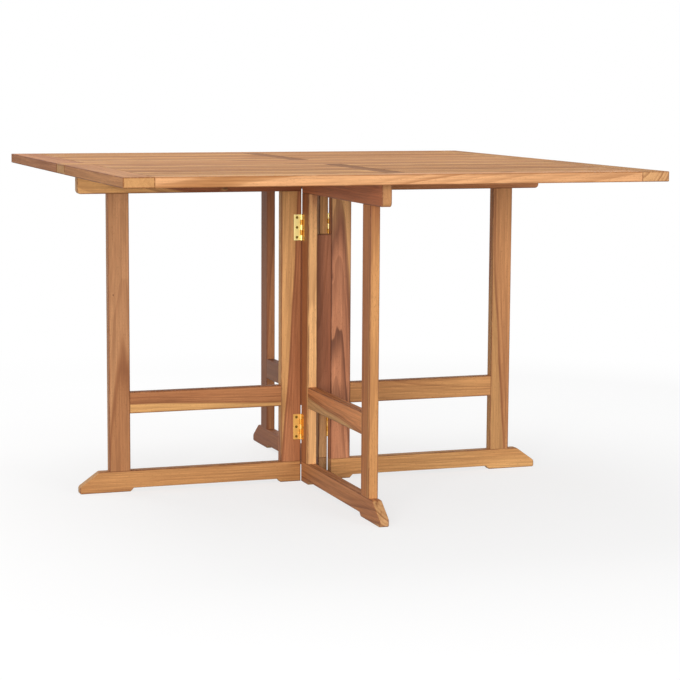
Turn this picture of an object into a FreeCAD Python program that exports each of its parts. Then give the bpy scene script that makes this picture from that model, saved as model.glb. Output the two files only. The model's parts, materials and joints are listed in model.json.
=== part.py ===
import FreeCAD, Part
import math
import os

# Folding garden table: a fixed frame under a narrow centre plank, two gates that swing out from its inner posts,
# and two slatted leaves hinged to the plank. Lengths are in millimetres. The origin is on the floor under the
# middle of the top, X runs along the plank, Y from the front leaf to the back leaf, Z up. The leaves are up and
# the gates are swung out. The table looks the same after half a turn about Z, so only one side of it is drawn.

Vector = FreeCAD.Vector
ORIGIN = Vector(0, 0, 0)
X_AXIS = Vector(1, 0, 0)
Y_AXIS = Vector(0, 1, 0)
Z_AXIS = Vector(0, 0, 1)
HALF_TURN = 180.0
QUARTER_TURN = 90.0
THIRD_TURN = 120.0

# The whole table
table_length = 1200.0
table_depth = 1200.0
table_height = 750.0
top_thickness = 22.0
arris_radius = 2.0
overrun = 1.0

# The top: centre plank and leaves
plank_width = 84.0
leaf_gap = 3.0
leaf_board_width = 65.0
muntin_width = 45.0
slat_thickness = 15.0
slat_gap = 5.0
slats_per_bay = 6

# Frame and gates: boards on edge, all of one thickness
frame_board_thickness = 22.0
post_width = 49.0
top_rail_width = 45.0
bottom_rail_width = 49.0
stretcher_width = 49.0
stretcher_bottom = 181.0
panel_width = 74.0
panel_drop = 102.0
frame_inset = 35.0
gate_inset = 58.0
post_inset = 69.0
gate_clearance = 4.2
rest_length = 90.0
rest_clearance = 0.3

# Feet, cut in the bottom rails
foot_relief = 8.0
foot_nose_height = 16.0
foot_slope_length = 46.0
foot_nose_radius = 9.0
foot_toe_radius = 4.0
foot_shoulder_radius = 12.0
rail_end_radius = 9.0

# Joinery
tenon_length = 30.0
tenon_thickness = 8.0
tenon_shoulder = 6.0
tongue_length = 8.0
tongue_thickness = 7.0
tongue_shoulder = 3.0
glue_gap = 0.2
dowel_radius = 4.0
dowel_length = 30.0
dowel_height_shares = (0.15, 0.5, 0.85)

# Brass butt hinges, one pattern for gates and leaves. The gate gap is what stays between a closed gate and
# its frame.
hinge_height = 60.0
plate_reach = 18.5
plate_thickness = 1.5
pin_radius = 1.25
pin_clearance = 0.05
eye_radius = 2.8
pin_offset = 3.1
gate_gap = 1.2
knuckle_count = 5
knuckle_gap = 0.4
hinge_screw_margin = 7.0
lower_hinge_rise = 51.0
upper_hinge_drop = 54.0
leaf_hinge_recess = 3.0
leaf_hinge_share = 0.36
recess_clearance = 0.3

# Screws
screw_radius = 1.75
screw_head_radius = 3.2
screw_head_height = 1.7
screw_clearance = 0.1
screw_sides = 8
hinge_screw_length = 16.0
stop_screw_length = 28.0
plank_screw_radius = 2.5
plank_screw_head_radius = 4.5
plank_screw_head_height = 3.0
plank_screw_grip = 14.0
counterbore_radius = 5.5
counterbore_depth = 15.0
plank_screw_shares = (0.2, 0.55, 0.93)

# Stop block under each leaf, against which the open gate comes to rest
stop_length = 70.0
stop_from_edge = 140.0
stop_depth = 16.0
stop_width = 20.0
stop_corner_radius = 5.0
stop_clearance = 0.3
stop_screw_shares = (0.25, 0.75)

# Heights and places that follow from the sizes above
underside = table_height - top_thickness
leaf_inner_edge = plank_width / 2 + leaf_gap
leaf_outer_edge = table_depth / 2
half_frame_length = table_length / 2 - frame_inset - panel_width / 2
gate_pin_x = panel_width / 2
gate_pin_y = frame_board_thickness / 2 + gate_gap / 2
gate_length = leaf_outer_edge - gate_inset - gate_pin_y
gate_height = underside - gate_clearance
gate_face_x = -gate_pin_x + gate_gap / 2 + frame_board_thickness
leaf_pin_y = plank_width / 2 + leaf_gap / 2
leaf_pin_z = underside + leaf_hinge_recess - pin_offset
knuckle_height = hinge_height / knuckle_count
fixed_knuckles = range(0, knuckle_count, 2)
moving_knuckles = range(1, knuckle_count, 2)


def corner_box(low, high):
    """A box between its lowest and its highest corner."""
    size = high - low
    return Part.makeBox(size.x, size.y, size.z, low)


def rounded(shape, edges):
    """The shape with the arris radius on the given edges."""
    return shape.makeFillet(arris_radius, edges)


def long_board(low, high, grain):
    """A board whose four long edges, along the grain, are rounded."""
    board = corner_box(low, high)
    edges = [edge for edge in board.Edges if round(edge.tangentAt(edge.FirstParameter).dot(grain))]
    return rounded(board, edges)


def whole_board(low, high):
    """A board with every edge rounded, because its ends show."""
    board = corner_box(low, high)
    return rounded(board, board.Edges)


def mortise(low, high):
    """The pocket for a tenon or tongue between two corners, with the glue gap all round."""
    slack = Vector(glue_gap, glue_gap, glue_gap)
    return corner_box(low - slack, high + slack)


def corner_arc(before, corner, after, radius):
    """Start, middle and end of the arc that rounds one corner of an outline."""
    back = (before - corner).normalize()
    ahead = (after - corner).normalize()
    half_angle = back.getAngle(ahead) / 2
    reach = radius / math.tan(half_angle)
    inward = (back + ahead).normalize()
    middle = corner + inward * (radius / math.sin(half_angle) - radius)
    return corner + back * reach, middle, corner + ahead * reach


def profile_face(outline):
    """A face in the XZ plane from (x, z, corner radius) triples."""
    corners = [Vector(x, 0, z) for x, z, radius in outline]
    radii = [radius for x, z, radius in outline]
    edges = []
    starts = []
    ends = []
    for index, corner in enumerate(corners):
        if radii[index] > 0:
            before = corners[index - 1]
            after = corners[(index + 1) % len(corners)]
            start, middle, end = corner_arc(before, corner, after, radii[index])
            edges.append(Part.Arc(start, middle, end).toShape())
        else:
            start = corner
            end = corner
        starts.append(start)
        ends.append(end)
    for index, end in enumerate(ends):
        edges.append(Part.makeLine(end, starts[(index + 1) % len(corners)]))
    return Part.Face(Part.Wire(Part.__sortEdges__(edges)))


def profile_board(outline):
    """A frame board cut to an outline in the XZ plane, centred on Y, with the edges of both faces rounded."""
    face = profile_face(outline)
    face.translate(Y_AXIS * (-frame_board_thickness / 2))
    board = face.extrude(Y_AXIS * frame_board_thickness)
    edges = [edge for edge in board.Edges if edge.BoundBox.YLength < arris_radius]
    return rounded(board, edges)


def placed(shape, angle, move):
    """A copy turned about Z and then moved."""
    copy = shape.copy()
    copy.rotate(ORIGIN, Z_AXIS, angle)
    copy.translate(move)
    return copy


def opposite(shape):
    """The same piece on the other side of the table."""
    return placed(shape, HALF_TURN, ORIGIN)


# Half frames and gates. Each is drawn standing in the XZ plane, with the inner post's inner edge at X = 0.

def post_tenon_corners(post_start, low, high):
    """Corners of the tenon on a post's end, between two heights."""
    half = tenon_thickness / 2
    near = Vector(post_start + tenon_shoulder, -half, low)
    far = Vector(post_start + post_width - tenon_shoulder, half, high)
    return near, far


def stretcher_tenon_corners(start, end):
    """Corners of the tenon on a stretcher's end, between two places along the rail."""
    half = tenon_thickness / 2
    near = Vector(start, -half, stretcher_bottom + tenon_shoulder)
    far = Vector(end, half, stretcher_bottom + stretcher_width - tenon_shoulder)
    return near, far


def post_starts(length):
    """Where the inner and the outer post begin along the rails."""
    return 0.0, length - post_inset - post_width


def bottom_rail(length):
    """Bottom rail: a sloped foot at its tip, a pad under each post and a relieved underside between them."""
    inner_start, outer_start = post_starts(length)
    inner_pad_end = inner_start + post_width
    outline = [
        (0, 0, 0),
        (inner_pad_end, 0, 0),
        (inner_pad_end + foot_relief, foot_relief, 0),
        (outer_start - foot_relief, foot_relief, 0),
        (outer_start, 0, 0),
        (length, 0, foot_toe_radius),
        (length, foot_nose_height, foot_nose_radius),
        (length - foot_slope_length, bottom_rail_width, foot_shoulder_radius),
        (0, bottom_rail_width, 0),
    ]
    rail = profile_board(outline)
    for start in post_starts(length):
        corners = post_tenon_corners(start, bottom_rail_width - tenon_length, bottom_rail_width)
        rail = rail.cut(mortise(*corners))
    return rail


def top_rail(length, height, rise):
    """Top rail, with the lower corner of its tip rounded. A gate's rail rises to a rest near its tip, which
    carries the leaf, and is lower elsewhere, so that it passes under the leaf's hinges."""
    lower_edge = height - top_rail_width
    outline = [(0, lower_edge, 0), (length, lower_edge, rail_end_radius), (length, height + rise, 0)]
    if rise > 0:
        rest_start = length - rest_length
        outline += [(rest_start, height + rise, 0), (rest_start - rise, height, 0)]
    outline.append((0, height, 0))
    rail = profile_board(outline)
    for start in post_starts(length):
        rail = rail.cut(mortise(*post_tenon_corners(start, lower_edge, lower_edge + tenon_length)))
    return rail


def post(start, height, stretcher_side):
    """Post between the rails, tenoned into both, with a mortise for the stretcher in one edge."""
    half = frame_board_thickness / 2
    lower = bottom_rail_width
    upper = height - top_rail_width
    board = long_board(Vector(start, -half, lower), Vector(start + post_width, half, upper), Z_AXIS)
    board = board.fuse(corner_box(*post_tenon_corners(start, lower - tenon_length, lower)))
    board = board.fuse(corner_box(*post_tenon_corners(start, upper, upper + tenon_length)))
    edge = start + post_width if stretcher_side > 0 else start
    inside = edge - stretcher_side * tenon_length
    return board.cut(mortise(*stretcher_tenon_corners(min(edge, inside), max(edge, inside))))


def stretcher(length):
    """Stretcher between the two posts, with a tenon at each end."""
    inner_start, outer_start = post_starts(length)
    start = inner_start + post_width
    half = frame_board_thickness / 2
    low = Vector(start, -half, stretcher_bottom)
    high = Vector(outer_start, half, stretcher_bottom + stretcher_width)
    board = long_board(low, high, X_AXIS)
    board = board.fuse(corner_box(*stretcher_tenon_corners(start - tenon_length, start)))
    return board.fuse(corner_box(*stretcher_tenon_corners(outer_start, outer_start + tenon_length)))


def frame_boards(length, height, rise):
    """The five boards of a half frame or a gate, by name."""
    inner_start, outer_start = post_starts(length)
    return {
        "top_rail": top_rail(length, height, rise),
        "bottom_rail": bottom_rail(length),
        "outer_post": post(outer_start, height, -1),
        "inner_post": post(inner_start, height, 1),
        "stretcher": stretcher(length),
    }


# Centre panel and its dowels

def panel_heights():
    """Bottom and top of the centre panel."""
    return stretcher_bottom, underside - top_rail_width - panel_drop


def dowel_places():
    """Centres of the dowels in the panel's two edges."""
    low, high = panel_heights()
    return [
        Vector(side * panel_width / 2, 0, low + share * (high - low))
        for side in (-1, 1)
        for share in dowel_height_shares
    ]


def dowel(centre, slack):
    """A dowel along X, or its hole where slack is more than zero."""
    length = dowel_length + 2 * slack
    return Part.makeCylinder(dowel_radius + slack, length, centre - X_AXIS * (length / 2), X_AXIS)


def dowel_holes():
    """All the dowel holes as one shape."""
    return Part.makeCompound([dowel(centre, glue_gap) for centre in dowel_places()])


def centre_panel():
    """Filler board between the two inner posts, flush with them and notched for the upper hinges' eyes."""
    low, high = panel_heights()
    half = frame_board_thickness / 2
    board = long_board(Vector(-panel_width / 2, -half, low), Vector(panel_width / 2, half, high), Z_AXIS)
    notches = Part.makeCompound(gate_hinge_pockets(on_post))
    return board.cut(dowel_holes()).cut(notches).cut(opposite(notches))


# Screws. Each is drawn with its head's face at Z = 0 and its shank along +Z.

def screw_ring(radius, height):
    """The closed outline of a screw's section at one height."""
    corners = []
    for step in range(screw_sides):
        angle = 2 * math.pi * step / screw_sides
        corners.append(Vector(radius * math.cos(angle), radius * math.sin(angle), height))
    return Part.makePolygon(corners + corners[:1])


def countersunk_screw(length):
    """A countersunk wood screw, plain, with flats instead of a round shank."""
    rings = [screw_ring(screw_head_radius, 0), screw_ring(screw_radius, screw_head_height)]
    head = Part.makeLoft(rings, True, True)
    shank = Part.Face(screw_ring(screw_radius, screw_head_height)).extrude(Z_AXIS * (length - screw_head_height))
    return head.fuse(shank).removeSplitter()


def countersink(depth):
    """The hole for a countersunk screw, down to the given depth."""
    slack = screw_clearance
    mouth = Part.makeCone(screw_head_radius + slack, screw_radius + slack, screw_head_height)
    return mouth.fuse(Part.makeCylinder(screw_radius + slack, depth + overrun))


def plank_screw():
    """A pan head screw that runs up through a top rail into the plank."""
    length = top_rail_width - counterbore_depth + plank_screw_grip
    head = Part.Face(screw_ring(plank_screw_head_radius, -plank_screw_head_height))
    head = head.extrude(Z_AXIS * plank_screw_head_height)
    shank = Part.Face(screw_ring(plank_screw_radius, 0)).extrude(Z_AXIS * length)
    return head.fuse(shank)


def plank_screw_places():
    """Places of the left half frame's screws, at the bottom of their counterbores."""
    height = underside - top_rail_width + counterbore_depth
    return [
        Vector(-panel_width / 2 - share * half_frame_length, 0, height)
        for share in plank_screw_shares
    ]


def plank_screw_hole(place):
    """Counterbore and clearance hole through the top rail for one screw."""
    bore_depth = counterbore_depth + overrun
    bore = Part.makeCylinder(counterbore_radius, bore_depth, place - Z_AXIS * bore_depth)
    shank_radius = plank_screw_radius + screw_clearance
    return bore.fuse(Part.makeCylinder(shank_radius, top_rail_width, place))


# Butt hinges. Each is drawn with its pin along Z, its middle at Z = 0, its plate towards +X and the wood that
# carries it towards +Y.

def hinge_screw_heights():
    """Heights of the three screws in a hinge plate."""
    end = hinge_height / 2 - hinge_screw_margin
    return -end, 0.0, end


def hinge_screw_place(height):
    """Where a screw's head lies in the face of a hinge plate."""
    return Vector((eye_radius + plate_reach) / 2, pin_offset - plate_thickness, height)


def hinge_plate(knuckles):
    """One plate of a butt hinge, rolled round the pin at its own knuckles and cut clear of the others."""
    back = pin_offset
    face = pin_offset - plate_thickness
    end = hinge_height / 2
    plate = corner_box(Vector(pin_offset, face, -end), Vector(plate_reach, back, end))
    for index in knuckles:
        low = -end + index * knuckle_height + knuckle_gap / 2
        high = low + knuckle_height - knuckle_gap
        root = corner_box(Vector(0, face, low), Vector(pin_offset, back, high))
        eye = Part.makeCylinder(eye_radius, high - low, Z_AXIS * low)
        plate = plate.fuse(root).fuse(eye)
    bore = Part.makeCylinder(pin_radius + pin_clearance, hinge_height, Z_AXIS * (-end))
    plate = plate.cut(bore).removeSplitter()
    for height in hinge_screw_heights():
        hole = countersink(plate_thickness)
        hole.rotate(ORIGIN, X_AXIS, -QUARTER_TURN)
        hole.translate(hinge_screw_place(height))
        plate = plate.cut(hole)
    return plate


def hinge_screws():
    """The three screws of one hinge plate."""
    screws = []
    for height in hinge_screw_heights():
        screw = countersunk_screw(hinge_screw_length)
        screw.rotate(ORIGIN, X_AXIS, -QUARTER_TURN)
        screw.translate(hinge_screw_place(height))
        screws.append(screw)
    return screws


def hinge_pin():
    """The pin of a butt hinge."""
    return Part.makeCylinder(pin_radius, hinge_height, Z_AXIS * (-hinge_height / 2))


def on_post(shape):
    """A hinge piece turned so that its plate lies on the left inner post's front face."""
    copy = shape.copy()
    copy.rotate(ORIGIN, Y_AXIS, HALF_TURN)
    return copy


def on_gate(shape):
    """A hinge piece turned so that its plate lies on the open front gate."""
    return placed(shape, -QUARTER_TURN, ORIGIN)


def on_plank(shape):
    """A hinge piece laid along the plank's front edge, plate towards the plank, wood above it."""
    copy = shape.copy()
    copy.rotate(ORIGIN, X_AXIS + Y_AXIS + Z_AXIS, THIRD_TURN)
    return copy


def on_leaf(shape):
    """A hinge piece laid along the plank's front edge, plate towards the front leaf."""
    return opposite(on_plank(shape))


def gate_hinge_places():
    """Middles of the front gate's two hinges."""
    lower = bottom_rail_width + lower_hinge_rise + hinge_height / 2
    upper = underside - top_rail_width - upper_hinge_drop - hinge_height / 2
    return [Vector(-gate_pin_x, -gate_pin_y, height) for height in (lower, upper)]


def leaf_hinge_places():
    """Middles of the front leaf's three hinges."""
    return [
        Vector(side * leaf_hinge_share * table_length, -leaf_pin_y, leaf_pin_z)
        for side in (-1, 0, 1)
    ]


def set_at(shapes, places, turn):
    """Turned copies of the shapes at every place."""
    copies = []
    for place in places:
        for shape in shapes:
            copy = turn(shape)
            copy.translate(place)
            copies.append(copy)
    return copies


def gate_hinge_pockets(turn):
    """Recesses for the front gate's hinge plates in one board, open at its edge where the eyes turn."""
    half_length = hinge_height / 2 + recess_clearance
    edge = -eye_radius - recess_clearance
    low = Vector(edge, edge, -half_length)
    high = Vector(plate_reach + recess_clearance, pin_offset, half_length)
    return set_at([corner_box(low, high)], gate_hinge_places(), turn)


def leaf_hinge_pocket(place, direction):
    """Recess for one leaf hinge plate, open at the board's edge, towards direction along Y."""
    half_length = hinge_height / 2 + recess_clearance
    near = place.y
    far = place.y + direction * (plate_reach + recess_clearance)
    low = Vector(place.x - half_length, min(near, far), underside - overrun)
    high = Vector(place.x + half_length, max(near, far), underside + leaf_hinge_recess)
    return corner_box(low, high)


# Centre plank

def centre_plank():
    """The narrow fixed board of the top, recessed underneath for the leaf hinges."""
    half_width = plank_width / 2
    low = Vector(-table_length / 2, -half_width, underside)
    high = Vector(table_length / 2, half_width, table_height)
    plank = whole_board(low, high)
    for place in leaf_hinge_places():
        pocket = leaf_hinge_pocket(place, 1)
        plank = plank.cut(pocket).cut(opposite(pocket))
    return plank


# Front leaf, a frame of boards on the flat with slats let into grooves. Front is towards -Y.

def bay_sides():
    """The two bays of a leaf, each from its lower to its higher X."""
    outside = table_length / 2 - leaf_board_width
    inside = muntin_width / 2
    return (-outside, -inside), (inside, outside)


def rail_inner_edges():
    """Y of the outer rail's and the inner rail's edges that face the slats."""
    return -leaf_outer_edge + leaf_board_width, -leaf_inner_edge - leaf_board_width


def rail_tenon_corners(side, rail_low):
    """Corners of a leaf rail's tenon in the left (-1) or right (1) stile."""
    shoulder = table_length / 2 - leaf_board_width
    first = side * shoulder
    second = side * (shoulder + tenon_length)
    middle = underside + top_thickness / 2
    low = Vector(min(first, second), rail_low + tenon_shoulder, middle - tenon_thickness / 2)
    wide = leaf_board_width - 2 * tenon_shoulder
    high = Vector(max(first, second), rail_low + tenon_shoulder + wide, middle + tenon_thickness / 2)
    return low, high


def muntin_tenon_corners(start, end):
    """Corners of the muntin's tenon between two places along Y."""
    middle = underside + top_thickness / 2
    half = muntin_width / 2 - tenon_shoulder
    return Vector(-half, start, middle - tenon_thickness / 2), Vector(half, end, middle + tenon_thickness / 2)


def tongue_corners(edge, direction, low_y, high_y):
    """Corners of a tongue or groove that leaves a bay at an edge, in a direction along X."""
    first = edge
    second = edge + direction * tongue_length
    middle = table_height - slat_thickness / 2
    low = Vector(min(first, second), low_y, middle - tongue_thickness / 2)
    high = Vector(max(first, second), high_y, middle + tongue_thickness / 2)
    return low, high


def leaf_stile(side):
    """Left (-1) or right (1) end board of the leaf, its end grain showing at the front."""
    outside = side * table_length / 2
    inside = side * (table_length / 2 - leaf_board_width)
    low = Vector(min(outside, inside), -leaf_outer_edge, underside)
    high = Vector(max(outside, inside), -leaf_inner_edge, table_height)
    board = whole_board(low, high)
    outer_rail_edge, inner_rail_edge = rail_inner_edges()
    for rail_low in (-leaf_outer_edge, inner_rail_edge):
        board = board.cut(mortise(*rail_tenon_corners(side, rail_low)))
    return board.cut(mortise(*tongue_corners(inside, side, outer_rail_edge, inner_rail_edge)))


def leaf_rail(rail_low):
    """A long board of the leaf between its stiles, tenoned into them, from one Y over the board's width."""
    reach = table_length / 2 - leaf_board_width
    low = Vector(-reach, rail_low, underside)
    high = Vector(reach, rail_low + leaf_board_width, table_height)
    board = long_board(low, high, X_AXIS)
    for side in (-1, 1):
        board = board.fuse(corner_box(*rail_tenon_corners(side, rail_low)))
    return board


def outer_rail():
    """The leaf's front board."""
    edge = rail_inner_edges()[0]
    return leaf_rail(-leaf_outer_edge).cut(mortise(*muntin_tenon_corners(edge - tenon_length, edge)))


def inner_rail():
    """The leaf's hinged board, recessed underneath for its hinge plates."""
    edge = rail_inner_edges()[1]
    board = leaf_rail(edge).cut(mortise(*muntin_tenon_corners(edge, edge + tenon_length)))
    for place in leaf_hinge_places():
        board = board.cut(leaf_hinge_pocket(place, -1))
    return board


def muntin():
    """The short board across the middle of the leaf, grooved on both sides for the slats."""
    outer_rail_edge, inner_rail_edge = rail_inner_edges()
    low = Vector(-muntin_width / 2, outer_rail_edge, underside)
    high = Vector(muntin_width / 2, inner_rail_edge, table_height)
    board = long_board(low, high, Y_AXIS)
    board = board.fuse(corner_box(*muntin_tenon_corners(outer_rail_edge - tenon_length, outer_rail_edge)))
    board = board.fuse(corner_box(*muntin_tenon_corners(inner_rail_edge, inner_rail_edge + tenon_length)))
    for side in (-1, 1):
        corners = tongue_corners(side * muntin_width / 2, -side, outer_rail_edge, inner_rail_edge)
        board = board.cut(mortise(*corners))
    return board


def slat(bay, low_y, width):
    """One slat across a bay, flush with the top, with a tongue at each end."""
    start, end = bay
    low = Vector(start, low_y, table_height - slat_thickness)
    high = Vector(end, low_y + width, table_height)
    board = long_board(low, high, X_AXIS)
    for edge, direction in ((start, -1), (end, 1)):
        corners = tongue_corners(edge, direction, low_y + tongue_shoulder, low_y + width - tongue_shoulder)
        board = board.fuse(corner_box(*corners))
    return board


def slat_pairs():
    """The slats of both bays, front row first; the two in line make one pair."""
    outer_rail_edge, inner_rail_edge = rail_inner_edges()
    opening = inner_rail_edge - outer_rail_edge
    width = (opening - (slats_per_bay + 1) * slat_gap) / slats_per_bay
    pairs = []
    for row in range(slats_per_bay):
        low_y = outer_rail_edge + slat_gap + row * (width + slat_gap)
        pairs.append(Part.makeCompound([slat(bay, low_y, width) for bay in bay_sides()]))
    return pairs


def stop_low_corner():
    """Lowest corner of the stop block, beside the open gate and near the leaf's edge."""
    return Vector(gate_face_x + stop_clearance, -leaf_outer_edge + stop_from_edge, underside - stop_depth)


def stop_screw_places():
    """Places of the stop block's two screws, in its underside."""
    corner = stop_low_corner()
    return [corner + Vector(stop_width / 2, share * stop_length, 0) for share in stop_screw_shares]


def gate_stop():
    """Block screwed up into the muntin, that the gate swings against."""
    corner = stop_low_corner()
    far = corner.x + stop_width
    outline = [
        (corner.x, corner.z, 0),
        (far, corner.z, stop_corner_radius),
        (far, underside, 0),
        (corner.x, underside, 0),
    ]
    face = profile_face(outline)
    face.translate(Y_AXIS * corner.y)
    block = face.extrude(Y_AXIS * stop_length)
    for place in stop_screw_places():
        hole = countersink(stop_screw_length)
        hole.translate(place)
        block = block.cut(hole)
    return block


def leaf_pieces():
    """The front leaf's pieces, by name."""
    pieces = {
        "outer_rail": outer_rail(),
        "inner_rail": inner_rail(),
        "left_stile": leaf_stile(-1),
        "right_stile": leaf_stile(1),
        "muntin": muntin(),
        "gate_stop": gate_stop(),
    }
    for number, pair in enumerate(slat_pairs(), start=1):
        pieces["slats_" + str(number)] = pair
    plates = set_at([hinge_plate(moving_knuckles)], leaf_hinge_places(), on_leaf)
    screws = set_at(hinge_screws(), leaf_hinge_places(), on_leaf)
    for place in stop_screw_places():
        screws.append(placed(countersunk_screw(stop_screw_length), 0, place))
    pieces["hinge_plates"] = Part.makeCompound(plates)
    pieces["screws"] = Part.makeCompound(screws)
    return pieces


def gate_pieces():
    """The front gate's pieces, by name, swung out."""
    gate_middle = gate_face_x - frame_board_thickness / 2
    move = Vector(gate_middle, -gate_pin_y, 0)
    pieces = {}
    rise = gate_clearance - rest_clearance
    for name, board in frame_boards(gate_length, gate_height, rise).items():
        pieces[name] = placed(board, -QUARTER_TURN, move)
    for pocket in gate_hinge_pockets(on_gate):
        pieces["inner_post"] = pieces["inner_post"].cut(pocket)
    plates = set_at([hinge_plate(moving_knuckles)], gate_hinge_places(), on_gate)
    pieces["hinge_plates"] = Part.makeCompound(plates)
    pieces["screws"] = Part.makeCompound(set_at(hinge_screws(), gate_hinge_places(), on_gate))
    return pieces


def left_frame_pieces():
    """The left half frame's boards, by name, drilled for the panel's dowels and the plank's screws."""
    move = Vector(-panel_width / 2, 0, 0)
    pieces = {}
    for name, board in frame_boards(half_frame_length, underside, 0).items():
        pieces[name] = placed(board, HALF_TURN, move)
    pieces["inner_post"] = pieces["inner_post"].cut(dowel_holes())
    for pocket in gate_hinge_pockets(on_post):
        pieces["inner_post"] = pieces["inner_post"].cut(pocket)
    for place in plank_screw_places():
        pieces["top_rail"] = pieces["top_rail"].cut(plank_screw_hole(place))
    return pieces


def both_sides(shapes):
    """The shapes and their opposites as one group."""
    return Part.makeCompound(shapes + [opposite(shape) for shape in shapes])


def fixed_pieces():
    """Everything that stands still: plank, frame, panel and the fixed halves of the hinges."""
    pieces = {"centre_plank": centre_plank(), "centre_panel": centre_panel()}
    pieces["panel_dowels"] = Part.makeCompound([dowel(centre, 0) for centre in dowel_places()])
    for name, board in left_frame_pieces().items():
        pieces["left_" + name] = board
        pieces["right_" + name] = opposite(board)
    gate_plates = set_at([hinge_plate(fixed_knuckles)], gate_hinge_places(), on_post)
    leaf_plates = set_at([hinge_plate(fixed_knuckles)], leaf_hinge_places(), on_plank)
    pins = set_at([hinge_pin()], gate_hinge_places(), on_post)
    pins += set_at([hinge_pin()], leaf_hinge_places(), on_plank)
    screws = set_at(hinge_screws(), gate_hinge_places(), on_post)
    screws += set_at(hinge_screws(), leaf_hinge_places(), on_plank)
    pieces["gate_hinge_fixed_plates"] = both_sides(gate_plates)
    pieces["leaf_hinge_fixed_plates"] = both_sides(leaf_plates)
    pieces["hinge_pins"] = both_sides(pins)
    pieces["fixed_hinge_screws"] = both_sides(screws)
    pieces["plank_screws"] = both_sides([placed(plank_screw(), 0, place) for place in plank_screw_places()])
    return pieces


def all_pieces():
    """Every node of the table, by name. Half a turn swaps left and right, so the back leaf's stiles swap
    names."""
    pieces = fixed_pieces()
    swapped = {"left_stile": "right_stile", "right_stile": "left_stile"}
    for group, members in (("gate", gate_pieces()), ("leaf", leaf_pieces())):
        for name, shape in members.items():
            pieces["front_" + group + "_" + name] = shape
            pieces["back_" + group + "_" + swapped.get(name, name)] = opposite(shape)
    return pieces


os.makedirs("parts", exist_ok=True)
for node, shape in all_pieces().items():
    shape.exportStep("parts/" + node + ".step")
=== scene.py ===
import json
import math
import bpy
from mathutils import Matrix, Vector


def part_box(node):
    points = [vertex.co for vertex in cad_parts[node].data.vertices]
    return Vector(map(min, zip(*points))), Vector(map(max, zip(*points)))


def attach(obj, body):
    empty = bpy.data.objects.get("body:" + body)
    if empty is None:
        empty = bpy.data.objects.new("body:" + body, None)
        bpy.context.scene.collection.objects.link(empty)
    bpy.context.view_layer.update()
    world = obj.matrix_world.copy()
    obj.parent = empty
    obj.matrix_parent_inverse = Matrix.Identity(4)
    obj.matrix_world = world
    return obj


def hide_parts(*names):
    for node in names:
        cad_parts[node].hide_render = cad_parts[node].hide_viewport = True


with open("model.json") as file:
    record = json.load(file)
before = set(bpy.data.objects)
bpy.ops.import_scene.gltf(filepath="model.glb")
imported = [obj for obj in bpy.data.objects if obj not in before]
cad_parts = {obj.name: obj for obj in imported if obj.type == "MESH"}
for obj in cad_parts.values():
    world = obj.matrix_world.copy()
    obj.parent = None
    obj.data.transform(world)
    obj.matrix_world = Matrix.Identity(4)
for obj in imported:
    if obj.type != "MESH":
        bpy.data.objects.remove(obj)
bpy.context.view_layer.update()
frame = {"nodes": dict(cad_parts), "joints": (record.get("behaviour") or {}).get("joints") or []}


# Half frames: two fixed frames of oiled teak boards, each with a top rail, a footed bottom rail, an outer
# and an inner post and a stretcher, planed and sanded with rounded edges and joined by glued mortise and
# tenon. Every board comes from another plank, so each has its own colour and growth rings.

def linear(hex_colour):
    """The linear colour of an sRGB hex value."""
    parts = [int(hex_colour[i:i + 2], 16) / 255 for i in (1, 3, 5)]
    return [c / 12.92 if c <= 0.04045 else ((c + 0.055) / 1.055) ** 2.4 for c in parts] + [1.0]


def add(tree, kind, inputs=None, **settings):
    """Adds a node with its settings; each input is a value or an output to link."""
    node = tree.nodes.new(kind)
    for name, value in settings.items():
        setattr(node, name, value)
    for key, value in (inputs or {}).items():
        if isinstance(value, bpy.types.NodeSocket):
            tree.links.new(value, node.inputs[key])
        else:
            node.inputs[key].default_value = value
    return node


def plug(tree, node, outputs):
    """Links outputs to the named inputs of a node."""
    for name, output in outputs.items():
        tree.links.new(output, node.inputs[name])


def calc(tree, operation, *values):
    """The output of a Math node."""
    return add(tree, "ShaderNodeMath", dict(enumerate(values)), operation=operation).outputs[0]


def vector_calc(tree, operation, *values):
    """The output of a Vector Math node."""
    node = add(tree, "ShaderNodeVectorMath", dict(enumerate(values)), operation=operation)
    return node.outputs["Value" if operation in ("LENGTH", "DOT_PRODUCT") else "Vector"]


def scaled(tree, vector, factor):
    """A vector times a number."""
    return add(tree, "ShaderNodeVectorMath", {0: vector, "Scale": factor}, operation="SCALE").outputs[0]


def split(tree, vector):
    """The three parts of a vector."""
    return add(tree, "ShaderNodeSeparateXYZ", {0: vector}).outputs


def step_up(tree, value, low, high):
    """0 below low, 1 above high, smooth between."""
    inputs = {"Value": value, "From Min": low, "From Max": high}
    return add(tree, "ShaderNodeMapRange", inputs, interpolation_type="SMOOTHSTEP").outputs["Result"]


def step_down(tree, value, low, high):
    """1 below low, 0 above high, smooth between."""
    return calc(tree, "SUBTRACT", 1.0, step_up(tree, value, low, high))


def mixed(tree, factor, first, second, blend="MIX"):
    """A colour mixed from the first to the second."""
    inputs = {"Factor": factor, 6: first, 7: second}
    return add(tree, "ShaderNodeMix", inputs, data_type="RGBA", blend_type=blend).outputs[2]


def stretched_noise(tree, place, number, across, along, detail, rough=0.5):
    """Noise whose cells measure the given millimetres across and along the grain."""
    size = vector_calc(tree, "MULTIPLY", place, (1 / across, 1 / across, 1 / along))
    inputs = {"Vector": size, "W": number, "Scale": 1.0, "Detail": detail, "Roughness": rough}
    return add(tree, "ShaderNodeTexNoise", inputs, noise_dimensions="4D").outputs


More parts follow.
